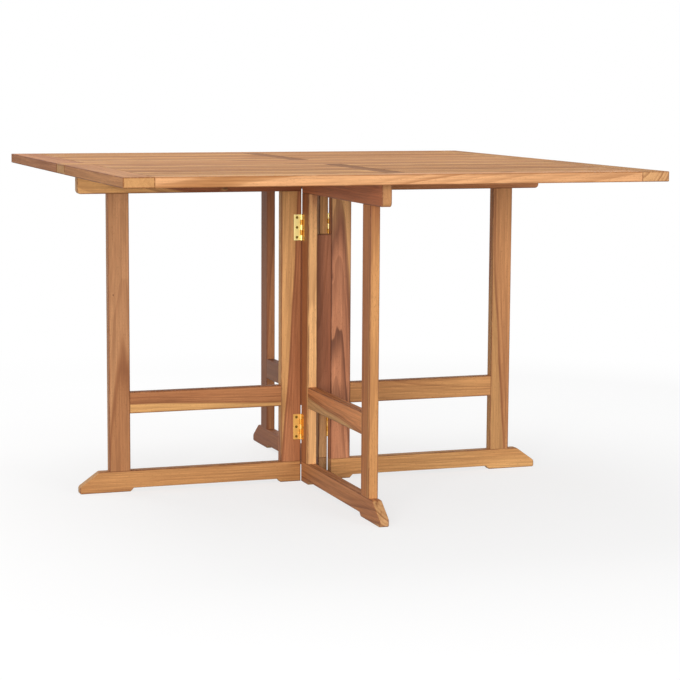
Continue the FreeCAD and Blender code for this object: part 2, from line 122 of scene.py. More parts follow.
def make_teak_log():
    """Solid teak as a node group: growth rings round a pith, heartwood, sapwood, streaks, pores and a knot.
    Places are in millimetres, X across the board's width, Y through its thickness and Z along the grain."""
    tree = bpy.data.node_groups.new("Teak log", "ShaderNodeTree")
    for kind, names in (
        ("Vector", ("Place", "Half size", "Pith", "Lean", "Knot")),
        ("Float", ("Board number", "Wander", "Ring width", "Ring strength", "Heart radius", "Streaks",
                   "Edge depth", "Edge shade and dust", "End grain")),
        ("Color", ("Heartwood", "Sapwood", "Latewood", "End colour")),
    ):
        for name in names:
            tree.interface.new_socket(name=name, in_out="INPUT", socket_type="NodeSocket" + kind)
    for name, kind in (("Colour", "Color"), ("Roughness", "Float"), ("Height", "Float")):
        tree.interface.new_socket(name=name, in_out="OUTPUT", socket_type="NodeSocket" + kind)
    given = tree.nodes.new("NodeGroupInput").outputs
    place = given["Place"]
    number = given["Board number"]
    latewood = given["Latewood"]

    # The log is never straight: its pith wanders and leans along the board.
    wander = stretched_noise(tree, place, number, across=420, along=600, detail=1.0)["Color"]
    wander = scaled(tree, vector_calc(tree, "SUBTRACT", wander, (0.5, 0.5, 0.5)), given["Wander"])
    across, _, along = split(tree, place)
    from_pith = vector_calc(tree, "ADD", vector_calc(tree, "SUBTRACT", place, given["Pith"]), wander)
    from_pith = vector_calc(tree, "ADD", from_pith, scaled(tree, given["Lean"], along))
    from_pith = vector_calc(tree, "MULTIPLY", from_pith, (1, 1, 0))

    # Grain flows round the knot, which is longer along the board than across it, and it ripples a little.
    knot_across, knot_size, knot_along = split(tree, given["Knot"])
    knot_length = calc(tree, "MULTIPLY", knot_size, 2.2)
    from_knot_across = calc(tree, "DIVIDE", calc(tree, "SUBTRACT", across, knot_across), knot_size)
    from_knot_along = calc(tree, "DIVIDE", calc(tree, "SUBTRACT", along, knot_along), knot_length)
    from_knot_across = calc(tree, "POWER", from_knot_across, 2.0)
    from_knot_along = calc(tree, "POWER", from_knot_along, 2.0)
    from_knot = calc(tree, "SQRT", calc(tree, "ADD", from_knot_across, from_knot_along))
    swell = calc(tree, "EXPONENT", calc(tree, "MULTIPLY", from_knot, -0.9))
    swell = calc(tree, "MULTIPLY", swell, knot_size)
    ripple = stretched_noise(tree, place, number, across=26, along=210, detail=2.0)["Fac"]
    ripple = calc(tree, "MULTIPLY", calc(tree, "SUBTRACT", ripple, 0.5), 7.0)
    radius = calc(tree, "ADD", vector_calc(tree, "LENGTH", from_pith), calc(tree, "MULTIPLY", swell, 1.7))
    radius = calc(tree, "ADD", radius, ripple)

    # Growth rings: pale early wood darkens slowly to a thin late line; some years are stronger than others.
    years = calc(tree, "DIVIDE", radius, given["Ring width"])
    fat_and_lean = calc(tree, "SINE", calc(tree, "MULTIPLY", years, 0.9))
    years = calc(tree, "ADD", years, calc(tree, "MULTIPLY", fat_and_lean, 0.35))
    season = calc(tree, "FRACT", years)
    year_number = calc(tree, "FLOOR", years)
    year = add(tree, "ShaderNodeTexWhiteNoise", {"W": year_number}, noise_dimensions="1D").outputs["Value"]
    year_strength = calc(tree, "MULTIPLY", calc(tree, "POWER", year, 2.0), 0.88)
    year_strength = calc(tree, "ADD", 0.12, year_strength)
    late = calc(tree, "MULTIPLY", step_up(tree, season, 0.25, 0.90), step_down(tree, season, 0.93, 1.0))
    late = calc(tree, "MULTIPLY", late, year_strength)

    # Heartwood tone drifts from board end to board end, and the young outer wood is pale and yellow, with a
    # dark line between them. Sawn ends are mostly of one colour.
    drift = stretched_noise(tree, place, number, across=60, along=520, detail=2.0)["Fac"]
    drift_tone = mixed(tree, step_up(tree, drift, 0.3, 0.7), (0.82, 0.73, 0.67, 1), (1.13, 1.14, 1.12, 1))
    heart = mixed(tree, 1.0, given["Heartwood"], drift_tone, "MULTIPLY")
    past_heart = calc(tree, "SUBTRACT", radius, given["Heart radius"])
    colour = mixed(tree, step_up(tree, past_heart, -1.5, 3.5), heart, given["Sapwood"])
    colour = mixed(tree, calc(tree, "MULTIPLY", given["End grain"], 0.8), colour, given["End colour"])
    heart_line = step_up(tree, past_heart, -4.5, -0.5)
    heart_line = calc(tree, "MULTIPLY", heart_line, step_down(tree, past_heart, -1.0, 2.0))
    colour = mixed(tree, calc(tree, "MULTIPLY", heart_line, 0.6), colour, latewood)
    colour = mixed(tree, calc(tree, "MULTIPLY", late, given["Ring strength"]), colour, latewood)

    # Dark mineral streaks, bands of fibre and fine fibres, which show less where they are cut across.
    streak = stretched_noise(tree, place, number, across=9, along=330, detail=3.0, rough=0.6)["Fac"]
    streak = calc(tree, "MULTIPLY", step_up(tree, streak, 0.52, 0.74), given["Streaks"])
    colour = mixed(tree, streak, colour, latewood)
    along_fibre = calc(tree, "SUBTRACT", 1.0, calc(tree, "MULTIPLY", given["End grain"], 0.6))
    bands = stretched_noise(tree, place, number, across=3.2, along=190, detail=3.0, rough=0.55)["Fac"]
    band_tone = mixed(tree, step_up(tree, bands, 0.32, 0.68), (0.84, 0.82, 0.79, 1), (1.10, 1.10, 1.08, 1))
    colour = mixed(tree, along_fibre, colour, band_tone, "MULTIPLY")
    fibre = stretched_noise(tree, place, number, across=0.8, along=34, detail=3.0, rough=0.6)["Fac"]
    fibre_tone = mixed(tree, step_up(tree, fibre, 0.3, 0.7), (0.87, 0.86, 0.84, 1), (1.10, 1.10, 1.08, 1))
    colour = mixed(tree, along_fibre, colour, fibre_tone, "MULTIPLY")

    # The short open pores of teak lie in the early wood, and the knot's heart is nearly black.
    pore = stretched_noise(tree, place, number, across=0.55, along=7, detail=1.0)["Fac"]
    pore = calc(tree, "MULTIPLY", step_up(tree, pore, 0.60, 0.70), step_down(tree, season, 0.25, 0.8))
    pore_colour = mixed(tree, 1.0, latewood, (0.6, 0.6, 0.6, 1), "MULTIPLY")
    colour = mixed(tree, calc(tree, "MULTIPLY", pore, 0.6), colour, pore_colour)
    knot_dark = step_down(tree, from_knot, 0.12, 0.42)
    knot_colour = mixed(tree, 1.0, latewood, (0.35, 0.3, 0.28, 1), "MULTIPLY")
    colour = mixed(tree, calc(tree, "MULTIPLY", knot_dark, 0.8), colour, knot_colour)

    # Sanded edges are burnished, and their colour darkens towards latewood in patches: painted shade on the
    # rounded arrises and in the gaps between boards, with some dust. The second smallest of the distances to
    # a side, a face and an end is the distance to the nearest edge.
    inset = vector_calc(tree, "SUBTRACT", given["Half size"], vector_calc(tree, "ABSOLUTE", place))
    from_side, from_face, from_end = split(tree, inset)
    nearer = calc(tree, "MINIMUM", from_side, from_face)
    further = calc(tree, "MAXIMUM", from_side, from_face)
    from_edge = calc(tree, "MAXIMUM", nearer, calc(tree, "MINIMUM", further, from_end))
    patchiness = stretched_noise(tree, place, number, across=5, along=40, detail=2.0)["Fac"]
    edge = step_down(tree, from_edge, 0.6, given["Edge depth"])
    edge = calc(tree, "MULTIPLY", edge, step_up(tree, patchiness, 0.2, 0.55))
    colour = mixed(tree, calc(tree, "MULTIPLY", edge, given["Edge shade and dust"]), colour, latewood)

    rough = calc(tree, "ADD", 0.50, calc(tree, "MULTIPLY", fibre, 0.14))
    rough = calc(tree, "ADD", rough, calc(tree, "MULTIPLY", pore, 0.15))
    rough = calc(tree, "SUBTRACT", rough, calc(tree, "MULTIPLY", edge, 0.10))
    height = calc(tree, "SUBTRACT", calc(tree, "MULTIPLY", fibre, 0.5), calc(tree, "MULTIPLY", pore, 0.8))
    height = calc(tree, "ADD", height, calc(tree, "MULTIPLY", late, 0.35))
    add(tree, "NodeGroupOutput", {"Colour": colour, "Roughness": rough, "Height": height})
    return tree


teak_log = make_teak_log()


def board_axes(node, grain):
    """Centre, half size and turn of a board: its width, thickness and length become X, Y and Z."""
    low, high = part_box(node)
    size = high - low
    order = sorted(range(3), key=lambda i: size[i])
    along = order[2] if grain is None else "XYZ".index(grain)
    thick, wide = [i for i in order if i != along]
    rows = [Vector([1.0 if i == k else 0.0 for i in range(3)]) for k in (wide, thick, along)]
    turn = Matrix(rows)
    if turn.determinant() < 0:
        turn[1] = -turn[1]
    return (low + high) / 2, Vector((size[wide], size[thick], size[along])) / 2, turn


def new_finish(name):
    """A new material with its node tree and its surface node."""
    material = bpy.data.materials.new(name)
    material.use_nodes = True
    return material, material.node_tree, material.node_tree.nodes["Principled BSDF"]


def dress(node, material):
    """Puts a material in every slot of a CAD node."""
    mesh = frame["nodes"][node].data
    mesh.materials.clear()
    mesh.materials.append(material)


# Metres to millimetres, half a length so great that no end shows, and a knot too far off to show.
TO_MM = 1000
NO_END = 10.0
NO_KNOT = (0.0, 1.0, 9000.0)


def teak_board(node, number, heart, sap="#E0AE6E", late="#7A4526", pith=(14, 70), lean=(0.02, 0.03), ring=4.0,
               strength=0.4, heart_radius=400, streaks=0.35, knot=NO_KNOT, grain=None, twin=0.0, wander=46,
               ends="#CA9C6A", edge=(3.4, 0.85), shine=0.25):
    """Sanded and oiled teak for one board: planed on four sides, its rings cut where the saw came through.
    The pith (across, through) and a knot (across, size, along) are in millimetres from the board's middle.
    The edge is its depth in millimetres and how strongly it is darkened, with painted shade and some dust."""
    centre, half, turn = board_axes(node, grain)
    material, tree, shader = new_finish("oiled_teak_" + node)
    shader.inputs["Specular IOR Level"].default_value = shine
    mapped = add(tree, "ShaderNodeTexCoord").outputs
    spot = mapped["Object"]
    if twin:
        # Two slats in line: the right one is cut further along the log, and their common box has no end
        # where each of them ends.
        on_the_right = calc(tree, "GREATER_THAN", split(tree, spot)[0], 0.0)
        spot = vector_calc(tree, "ADD", spot, scaled(tree, (twin, 0, 0), on_the_right))
        half = Vector((half.x, half.y, NO_END))
    in_the_board = {"Vector": spot, "Location": -(turn @ centre) * TO_MM, "Rotation": turn.to_euler(),
                    "Scale": (TO_MM, TO_MM, TO_MM)}
    across_grain = calc(tree, "ABSOLUTE", vector_calc(tree, "DOT_PRODUCT", mapped["Normal"], turn[2]))
    wood = add(tree, "ShaderNodeGroup", {
        "Place": add(tree, "ShaderNodeMapping", in_the_board).outputs[0], "Half size": half * TO_MM,
        "Pith": (*pith, 0), "Lean": (*lean, 0), "Knot": knot, "Board number": number, "Wander": wander,
        "Ring width": ring, "Ring strength": strength, "Heart radius": heart_radius, "Streaks": streaks,
        "Edge depth": edge[0], "Edge shade and dust": edge[1], "End grain": step_up(tree, across_grain, 0.25, 0.6),
        "Heartwood": linear(heart), "Sapwood": linear(sap), "Latewood": linear(late),
        "End colour": linear(ends),
    }, node_tree=teak_log).outputs
    bump = add(tree, "ShaderNodeBump", {"Strength": 0.5, "Distance": 0.00025, "Height": wood["Height"]})
    plug(tree, shader, {"Base Color": wood["Colour"], "Roughness": wood["Roughness"],
                        "Normal": bump.outputs[0]})
    dress(node, material)


teak_board("left_top_rail", 1, "#A0603C", "#DBA468", pith=(15, 70), heart_radius=70, ring=11, strength=0.6,
           streaks=0.5, lean=(0.0, 0.12), wander=8, knot=(-14, 10, 80))
teak_board("left_bottom_rail", 2, "#C08A57", pith=(60, 34), ring=6, strength=0.5, streaks=0.3,
           lean=(0.03, 0.0))
teak_board("left_outer_post", 3, "#AF7A51", "#B7835A", pith=(8, 46), heart_radius=54, ring=9, strength=0.3,
           streaks=0.2, lean=(0.0, -0.05), knot=(-13, 4, 88), wander=6)
teak_board("left_inner_post", 4, "#B47650", "#D29C64", pith=(52, 26), heart_radius=61, ring=8,
           strength=0.42, lean=(-0.074, 0.02))
teak_board("left_stretcher", 5, "#B2784E", "#D9A468", pith=(58, 24), heart_radius=66, ring=8, strength=0.5,
           lean=(0.01, 0.0))
# The right top rail's colour is lighter than its wood, to make up for the shade under the leaf: painted
# light.
teak_board("right_top_rail", 6, "#CC8B5C", pith=(10, 60), ring=7, streaks=0.4)
teak_board("right_bottom_rail", 7, "#DAA56B", pith=(-40, 44), ring=6, strength=0.38, streaks=0.2,
           lean=(0.04, 0.02))
teak_board("right_outer_post", 8, "#BE8557", "#C4905C", pith=(44, 40), heart_radius=70, ring=9,
           strength=0.32, lean=(0.03, 0.0))
teak_board("right_inner_post", 9, "#C08260", "#CF9A66", "#5A3020", pith=(-8, 38), heart_radius=58, ring=7,
           streaks=0.1, strength=0.9, lean=(0.0, -0.035), knot=(-23, 3, 115), wander=6)
teak_board("right_stretcher", 10, "#C68F5B", pith=(30, 50), ring=6, strength=0.42, streaks=0.35)


# Centre panel: one teak board that fills the space between the two inner posts, open above and below it. Six
# plain beech dowels, three to a side and glued into both, hold it flush with the posts.

teak_board("centre_panel", 11, "#9A6144", pith=(-10, 52), ring=9, strength=0.6, streaks=0.2, lean=(0.0, 0.10))
teak_board("panel_dowels", 12, "#C9A173", "#D8B583", "#9B7145", pith=(2, 9), ring=2.5, streaks=0.1, grain="X")


# Centre plank: the one long teak board of the top that stays put, screwed down to the half frames' top rails
# from below. Its end grain shows at both ends.

# Its wide darkened edges are painted shade of the gaps beside the slats.
teak_board("centre_plank", 13, "#CD9966", pith=(10, 46), ring=5, streaks=0.3, edge=(6, 0.7), shine=0.05)


# Gates: two swinging frames of the same boards as the half frames, joined in the same way and a little
# lower, so that they pass under the leaf hinges. A raised rest at the tip of the top rail carries the leaf.

teak_board("front_gate_top_rail", 20, "#CA8058", pith=(6, 60), ring=8, strength=0.4, streaks=0.4,
           ends="#BA8A58")
teak_board("front_gate_bottom_rail", 21, "#BE8154", "#D6A474", pith=(30, 40), heart_radius=84, ring=10,
           strength=0.8, streaks=0.9, lean=(0.05, 0.03))
teak_board("front_gate_outer_post", 22, "#BC7C4C", "#C98F58", pith=(40, 8), heart_radius=58, ring=7,
           strength=0.6, wander=6)
teak_board("front_gate_inner_post", 23, "#AE7048", "#E8B076", pith=(36, 10), heart_radius=54, ring=7,
           strength=0.6, wander=6)
teak_board("front_gate_stretcher", 24, "#D6905E", "#D2A26E", pith=(40, 30), heart_radius=66, ring=9,
           strength=0.7, streaks=0.4, lean=(-0.06, 0.0))
teak_board("back_gate_top_rail", 30, "#A87046", pith=(16, 44), ring=7, streaks=0.4)
teak_board("back_gate_bottom_rail", 31, "#9C6340", pith=(36, 50), ring=8, streaks=0.35)
# The back gate's outer post has its heartwood darkened for the shade under the table: painted shade.
teak_board("back_gate_outer_post", 32, "#8F5B3A", "#A66E46", pith=(-6, 52), heart_radius=60, ring=8)
# The back gate's inner post has colours lighter than its wood, standing in for light that the narrow slot
# keeps off it: painted light.
teak_board("back_gate_inner_post", 33, "#D8A46C", "#E2B07A", pith=(-10, 40), heart_radius=46, ring=7)
teak_board("back_gate_stretcher", 34, "#8A5C42", pith=(20, 60), ring=7, streaks=0.35)


# Leaves: each is a frame of teak boards laid flat, grooved for twelve long slats in two bays. Rails are
# tenoned into the end stiles, whose end grain shows at the front, and a muntin divides the bays. A block
# screwed on below stops the open gate.

teak_board("front_leaf_outer_rail", 40, "#D8A56E", "#DCA475", "#A0683F", pith=(20, 62), heart_radius=52,
           ring=13, strength=0.7, streaks=0.3, lean=(0.0, -0.15), wander=12, shine=0.1)
teak_board("back_leaf_outer_rail", 60, "#C48E58", "#9A7450", pith=(-40, 30), heart_radius=62, ring=9,
           wander=6, shine=0.05)
slat_tones = ("#CD9966", "#D6A470", "#BD895A", "#D29D6A", "#C59161", "#D9A875")
# The inner rails and slats have wide darkened edges: painted shade of the gaps between them.
for side, first, left_stile in (("front_leaf_", 40, "#C38D63"), ("back_leaf_", 60, "#BC8561")):
    teak_board(side + "inner_rail", first + 1, "#C99366", pith=(10, 50), ring=7, strength=0.6,
               edge=(6, 0.6), shine=0.05)
    teak_board(side + "left_stile", first + 2, left_stile, pith=(30, -20), ring=9, strength=0.2,
               ends="#C5945F", shine=0.05)
    teak_board(side + "right_stile", first + 3, "#C4935F", "#9A7450", "#8E5C3A", pith=(-52, -44),
               heart_radius=84, ring=10, strength=0.9, wander=4, ends="#DDAA78", shine=0.05)
    teak_board(side + "muntin", first + 4, "#966A42", pith=(12, 40), ring=7, strength=0.6, streaks=0.3,
               shine=0.05)
    for row, tone in enumerate(slat_tones, start=1):
        teak_board(side + "slats_" + str(row), first + 5 + row, tone, pith=(6 * row - 20, 38 + 5 * row),
                   ring=6 + row % 3, strength=0.6, streaks=0.25 + 0.06 * (row % 4), lean=(0.02, 0.01 * row),
                   twin=1.7, edge=(6, 0.7), shine=0.05)
    teak_board(side + "gate_stop", first + 12, "#AE7448", pith=(8, 40), ring=4)


# Butt hinges: brass strip, brushed and pressed into plates whose five eyes are rolled round the pin. They are
# let into the wood and screwed down. The plates on the fixed boards are bright. The ones on the gates and
# leaves have heavy brown tarnish clouds, and darker, more orange colours that are painted shade and a painted
# reflection of the reddish wood beside them.

def hinge_brass(name, light, dark, tarnish_and_shade, roughness):
    """Yellow brass with fine brush lines along it, deeper and more orange below half a metre, brown in
    clouds.
    """
    material, tree, shader = new_finish(name)
    shader.inputs["Metallic"].default_value = 1.0
    spot = add(tree, "ShaderNodeTexCoord").outputs["Object"]
    lines = {"Vector": vector_calc(tree, "MULTIPLY", spot, (3000, 3000, 160)), "Scale": 1.0, "Detail": 2.0}
    clouds = {"Vector": spot, "Scale": 160.0, "Detail": 4.0}
    brushing = add(tree, "ShaderNodeTexNoise", lines).outputs["Fac"]
    tarnish = step_up(tree, add(tree, "ShaderNodeTexNoise", clouds).outputs["Fac"], 0.52, 0.75)
    low_down = step_down(tree, split(tree, spot)[2], 0.2, 0.5)
    colour = mixed(tree, brushing, linear(dark), linear(light))
    colour = mixed(tree, calc(tree, "MULTIPLY", low_down, 0.75), colour, linear("#E0A548"))
    colour = mixed(tree, calc(tree, "MULTIPLY", tarnish, tarnish_and_shade), colour, linear("#A8702E"))
    rough = calc(tree, "ADD", roughness, calc(tree, "MULTIPLY", tarnish, 0.1))
    bump = add(tree, "ShaderNodeBump", {"Strength": 0.15, "Distance": 0.00005, "Height": brushing})
    plug(tree, shader, {"Base Color": colour, "Roughness": rough, "Normal": bump.outputs[0]})
    return material


brass = hinge_brass("brushed_yellow_brass", "#FFF6B8", "#FFEE9A", tarnish_and_shade=0.1, roughness=0.55)
# The moving plates' brass: its darker, more orange colours are painted shade and painted reflection of the
# reddish wood.
shaded_hinge_brass = hinge_brass("tarnished_and_shaded_yellow_brass", "#C99540", "#A8742E", tarnish_and_shade=0.7, roughness=0.45)
for node in ("gate_hinge_fixed_plates", "leaf_hinge_fixed_plates"):
    dress(node, brass)
for node in ("front_gate_hinge_plates", "back_gate_hinge_plates", "front_leaf_hinge_plates",
             "back_leaf_hinge_plates"):
    dress(node, shaded_hinge_brass)


# Hinge pins: brass rod through the five rolled eyes, its ends hammered over into low domes so that it can't
# work out. Ten of one pattern, four upright in the gate hinges and six lying under the top.

def tree_with(name, inputs):
    """A geometry tree with a geometry input and output and the named inputs."""
    tree = bpy.data.node_groups.new(name, "GeometryNodeTree")
    tree.interface.new_socket(name="Geometry", in_out="INPUT", socket_type="NodeSocketGeometry")
    tree.interface.new_socket(name="Geometry", in_out="OUTPUT", socket_type="NodeSocketGeometry")
    for label, kind in inputs:
        tree.interface.new_socket(name=label, in_out="INPUT", socket_type="NodeSocket" + kind)
    return tree, tree.nodes.new("NodeGroupInput").outputs


def raised(tree, shape, height, scale=(1, 1, 1)):
    """The shape moved up by a height."""
    move = add(tree, "ShaderNodeCombineXYZ", {"Z": height}).outputs[0]
    inputs = {"Geometry": shape, "Translation": move, "Scale": scale}
    return add(tree, "GeometryNodeTransform", inputs).outputs[0]


def joined(tree, shapes):
    """Several shapes as one."""
    node = tree.nodes.new("GeometryNodeJoinGeometry")
    for shape in shapes:
        tree.links.new(shape, node.inputs[0])
    return node.outputs[0]


def set_on_points(tree, given, shape):
    """One turned copy of the shape on every point, made real and given its material."""
    facing = add(tree, "GeometryNodeInputNamedAttribute", {"Name": "facing"}, data_type="FLOAT_VECTOR")
    aim = add(tree, "FunctionNodeAlignRotationToVector", {"Vector": facing.outputs[0]}, axis="Z")
    angle = add(tree, "FunctionNodeRandomValue", {2: 0.0, 3: 2 * math.pi, "Seed": given["Seed"]},
                data_type="FLOAT")
    spin = add(tree, "FunctionNodeAxisAngleToRotation", {"Axis": (0, 0, 1), "Angle": angle.outputs[1]})
    turn = add(tree, "FunctionNodeRotateRotation", {"Rotation": aim.outputs[0], "Rotate By": spin.outputs[0]},
               rotation_space="LOCAL")
    copies = add(tree, "GeometryNodeInstanceOnPoints",
                 {"Points": given["Geometry"], "Instance": shape, "Rotation": turn.outputs[0]})
    real = add(tree, "GeometryNodeRealizeInstances", {0: copies.outputs[0]})
    done = add(tree, "GeometryNodeSetMaterial", {"Geometry": real.outputs[0], "Material": given["Material"]})
    add(tree, "NodeGroupOutput", {0: done.outputs[0]})


def on_points(name, tree, spots, body, slot, values, *replaced):
    """Runs a tree on (place, facing) spots, keeps the result as a plain mesh and hangs it on its body."""
    mesh = bpy.data.meshes.new(name)
    mesh.from_pydata([place for place, way in spots], [], [])
    facing = mesh.attributes.new("facing", "FLOAT_VECTOR", "POINT")
    facing.data.foreach_set("vector", [part for place, way in spots for part in way])
    piece = bpy.data.objects.new(name, mesh)
    bpy.context.scene.collection.objects.link(piece)
    modifier = piece.modifiers.new(name, "NODES")
    modifier.node_group = tree
    for item in tree.interface.items_tree:
        if item.in_out == "INPUT" and item.name in values:
            modifier[item.identifier] = values[item.name]
    bpy.context.view_layer.update()
    plain = bpy.data.meshes.new_from_object(piece.evaluated_get(bpy.context.evaluated_depsgraph_get()))
    piece.modifiers.clear()
    piece.data = plain
    plain.name = name
    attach(piece, body)
    if replaced:
        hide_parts(*replaced)


def half_turned(spots):
    """The same spots on the other side of the table."""
    return [(Vector((-p[0], -p[1], p[2])), Vector((-f[0], -f[1], f[2]))) for p, f in spots]


pin_tree, given = tree_with("Hinge pins", (("Radius", "Float"), ("Length", "Float"), ("Head radius", "Float"),
                                           ("Seed", "Int"), ("Material", "Material")))
rod = add(pin_tree, "GeometryNodeMeshCylinder",
          {"Vertices": 24, "Radius": given["Radius"], "Depth": given["Length"]}).outputs[0]
dome = add(pin_tree, "GeometryNodeMeshUVSphere",
           {"Segments": 20, "Rings": 8, "Radius": given["Head radius"]}).outputs[0]
top_end = calc(pin_tree, "MULTIPLY", given["Length"], 0.5)
bottom_end = calc(pin_tree, "MULTIPLY", top_end, -1.0)
low_dome = (1, 1, 0.4)
domes = [raised(pin_tree, dome, end, low_dome) for end in (top_end, bottom_end)]
smooth = add(pin_tree, "GeometryNodeSetShadeSmooth", {"Geometry": joined(pin_tree, domes)}).outputs[0]
set_on_points(pin_tree, given, joined(pin_tree, [rod, smooth]))

# The hinges' middles, in metres: the gates' by their height, the leaves' by their place along the plank.
lower_gate_hinge = 0.130
upper_gate_hinge = 0.599
outer_leaf_hinge = 0.432
joint_at = {joint["name"]: Vector(joint["pos_m"]) for joint in frame["joints"]}
gate_pin = joint_at["front_gate_swing"]
leaf_pin = joint_at["front_leaf_lift"]
gate_hinges = [Vector((gate_pin.x, gate_pin.y, height)) for height in (lower_gate_hinge, upper_gate_hinge)]
leaf_hinges = [Vector((x, leaf_pin.y, leaf_pin.z)) for x in (-outer_leaf_hinge, 0.0, outer_leaf_hinge)]
upright = Vector((0, 0, 1))
lying = Vector((1, 0, 0))
pins = [(place, upright) for place in gate_hinges] + [(place, lying) for place in leaf_hinges]
domed_pin = {"Radius": 0.00125, "Length": 0.060, "Head radius": 0.0019, "Seed": 1, "Material": brass}
on_points("hinge_pins_domed", pin_tree, pins + half_turned(pins), "fixed_frame", "brass", domed_pin,
          "hinge_pins")


# Screws: small countersunk brass wood screws hold the hinge plates, three to a plate, longer ones the stop
# blocks, and stainless pan head screws run up through the top rails into the plank. All have cross recesses.

screw_tree, given = tree_with("Wood screws", (
    ("Face height", "Float"), ("Face radius", "Float"), ("Neck height", "Float"), ("Neck radius", "Float"),
    ("Shank radius", "Float"), ("Length", "Float"), ("Tip length", "Float"), ("Recess reach", "Float"),
    ("Recess width", "Float"), ("Recess depth", "Float"), ("Thread turns", "Float"),
    ("Thread height", "Float"), ("Seed", "Int"), ("Material", "Material")))
head_depth = calc(screw_tree, "SUBTRACT", given["Neck height"], given["Face height"])
head = add(screw_tree, "GeometryNodeMeshCone",
           {"Vertices": 20, "Radius Bottom": given["Face radius"], "Radius Top": given["Neck radius"],
            "Depth": head_depth}).outputs[0]
cross = []
for long_side, short_side in ((0, 1), (1, 0)):
    size = add(screw_tree, "ShaderNodeCombineXYZ", {long_side: given["Recess reach"],
                                                    short_side: given["Recess width"],
                                                    2: given["Recess depth"]}).outputs[0]
    cross.append(add(screw_tree, "GeometryNodeMeshCube", {"Size": size}).outputs[0])
cut = add(screw_tree, "GeometryNodeMeshBoolean", {"Mesh 1": head}, operation="DIFFERENCE", solver="EXACT")
for arm in cross:
    screw_tree.links.new(arm, cut.inputs[1])
head = raised(screw_tree, cut.outputs[0], given["Face height"])
shank_length = calc(screw_tree, "SUBTRACT", given["Length"], given["Neck height"])
shank_length = calc(screw_tree, "SUBTRACT", shank_length, given["Tip length"])
shank = add(screw_tree, "GeometryNodeMeshCylinder",
            {"Vertices": 12, "Radius": given["Shank radius"], "Depth": shank_length}).outputs[0]
shank_middle = calc(screw_tree, "ADD", given["Neck height"], calc(screw_tree, "MULTIPLY", shank_length, 0.5))
tip = add(screw_tree, "GeometryNodeMeshCone",
          {"Vertices": 12, "Radius Bottom": given["Shank radius"], "Radius Top": 0.0002,
           "Depth": given["Tip length"]}).outputs[0]
tip_start = calc(screw_tree, "SUBTRACT", given["Length"], given["Tip length"])
threaded_share = 0.7
thread_length = calc(screw_tree, "MULTIPLY", shank_length, threaded_share)
spiral = add(screw_tree, "GeometryNodeCurveSpiral",
             {"Resolution": 12, "Rotations": given["Thread turns"], "Start Radius": given["Shank radius"],
              "End Radius": given["Shank radius"], "Height": thread_length}).outputs[0]
ridge = add(screw_tree, "GeometryNodeCurvePrimitiveCircle",
            {"Resolution": 3, "Radius": given["Thread height"]}).outputs[0]
thread = add(screw_tree, "GeometryNodeCurveToMesh",
             {"Curve": spiral, "Profile Curve": ridge, "Fill Caps": True}).outputs[0]
thread_start = calc(screw_tree, "SUBTRACT", tip_start, thread_length)
parts = [head, raised(screw_tree, shank, shank_middle), raised(screw_tree, tip, tip_start),
         raised(screw_tree, thread, thread_start)]
set_on_points(screw_tree, given, joined(screw_tree, parts))


def screw_metal(name, light, dark, roughness):
    """Screw metal: bright, with small clouds where it has gone dull and darker."""
    material, tree, shader = new_finish(name)
    shader.inputs["Metallic"].default_value = 1.0
    shader.inputs["Roughness"].default_value = roughness
    spot = add(tree, "ShaderNodeTexCoord").outputs["Object"]
    dull = add(tree, "ShaderNodeTexNoise", {"Vector": spot, "Scale": 900.0, "Detail": 3.0}).outputs["Fac"]
    colour = mixed(tree, step_up(tree, dull, 0.35, 0.65), linear(light), linear(dark))
    plug(tree, shader, {"Base Color": colour})
    return material


# The brass screws' colours are darker than the hinge brass: painted shade of the recesses round their heads.
shaded_screw_brass = screw_metal("shade_darkened_brass_screws", "#A88E42", "#6A5424", roughness=0.45)
stainless = screw_metal("stainless_screws", "#A9A9A6", "#7C7C7A", roughness=0.35)
hinge_screw = {"Face height": 0.0, "Face radius": 0.0031, "Neck height": 0.0017, "Neck radius": 0.0017,
               "Shank radius": 0.00155, "Length": 0.016, "Tip length": 0.003, "Recess reach": 0.0036,
               "Recess width": 0.0009, "Recess depth": 0.0018, "Thread turns": 7.0, "Thread height": 0.0004,
               "Material": shaded_screw_brass}
stop_screw = dict(hinge_screw, Length=0.028, Seed=5)
stop_screw["Thread turns"] = 12.0
plank_screw = {"Face height": -0.003, "Face radius": 0.0034, "Neck height": 0.0, "Neck radius": 0.0045,
               "Shank radius": 0.0021, "Length": 0.044, "Tip length": 0.005, "Recess reach": 0.0048,
               "Recess width": 0.0012, "Recess depth": 0.003, "Thread turns": 14.0, "Thread height": 0.0006,
               "Seed": 6, "Material": stainless}

# Three screws stand in a row on each plate, beside the pin and along it, measured from the hinge's middle.
beside_pin = 0.01065
plate_face = 0.0016
along_pin = (-0.023, 0.0, 0.023)
post_rows = [(pin + Vector((-beside_pin, plate_face, up)), Vector((0, 1, 0)))
             for pin in gate_hinges for up in along_pin]
gate_rows = [(pin + Vector((plate_face, -beside_pin, up)), Vector((1, 0, 0)))
             for pin in gate_hinges for up in along_pin]
plank_rows = [(pin + Vector((out, beside_pin, plate_face)), upright)
              for pin in leaf_hinges for out in along_pin]
leaf_rows = [(pin + Vector((out, -beside_pin, plate_face)), upright)
             for pin in leaf_hinges for out in along_pin]
fixed_rows = post_rows + plank_rows
on_points("fixed_hinge_screws_crossed", screw_tree, fixed_rows + half_turned(fixed_rows), "fixed_frame",
          "brass_screws", dict(hinge_screw, Seed=2), "fixed_hinge_screws")

